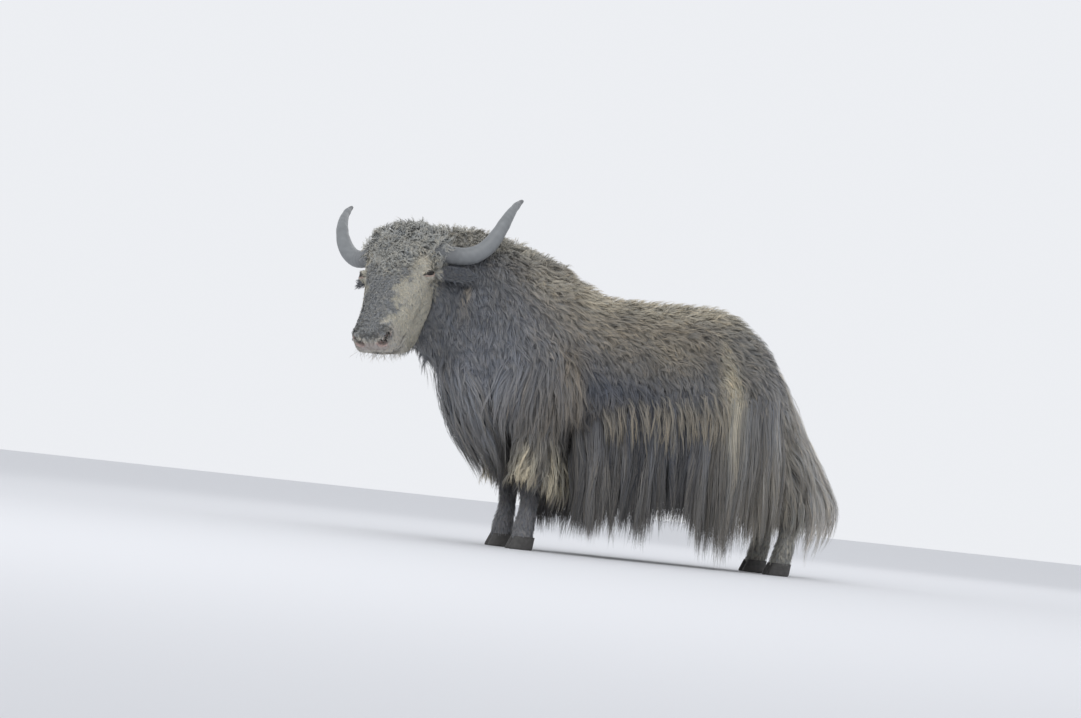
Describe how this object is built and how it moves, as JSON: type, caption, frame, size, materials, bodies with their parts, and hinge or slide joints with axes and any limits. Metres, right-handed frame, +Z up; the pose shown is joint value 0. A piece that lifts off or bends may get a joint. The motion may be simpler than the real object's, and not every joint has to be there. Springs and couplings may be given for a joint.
{
  "type": "yak",
  "caption": "Standing domestic yak bull with long shaggy coat, head turned to its left, sweeping upturned horns and full brush tail; a still, life-size model.",
  "frame": {"origin": "on the floor, under the centre of the bounding box", "axes": "+Z up; the animal's head end is toward -Y and its tail toward +Y; +X is toward its left side"},
  "size_m": [0.8256, 2.3652, 1.4691],
  "materials": {
    "coat": "long coarse hair, dark grey with paler back and thigh streaks",
    "face_coat": "short pale grey hair with darker curls on the forehead",
    "horn": "smooth grey horn, satin, darker toward the tips",
    "hoof": "dull dark horn with fine growth rings",
    "eye": "wet dark eye"
  },
  "bodies": {
    "root": {"head": "face_coat", "neck": "coat", "bib": "coat", "forequarters": "coat", "trunk": "coat", "hindquarters": "coat", "skirt_left": "coat", "skirt_right": "coat", "foreleg_left": "coat", "foreleg_right": "coat", "hindleg_left": "coat", "hindleg_right": "coat", "tail": "coat", "ear_left": "coat", "ear_right": "coat", "horn_left": "horn", "horn_right": "horn", "eye_left": "eye", "eye_right": "eye", "claw_fore_left_outer": "hoof", "claw_fore_left_inner": "hoof", "claw_fore_right_outer": "hoof", "claw_fore_right_inner": "hoof", "claw_hind_left_outer": "hoof", "claw_hind_left_inner": "hoof", "claw_hind_right_outer": "hoof", "claw_hind_right_inner": "hoof"}
  },
  "joints": []
}
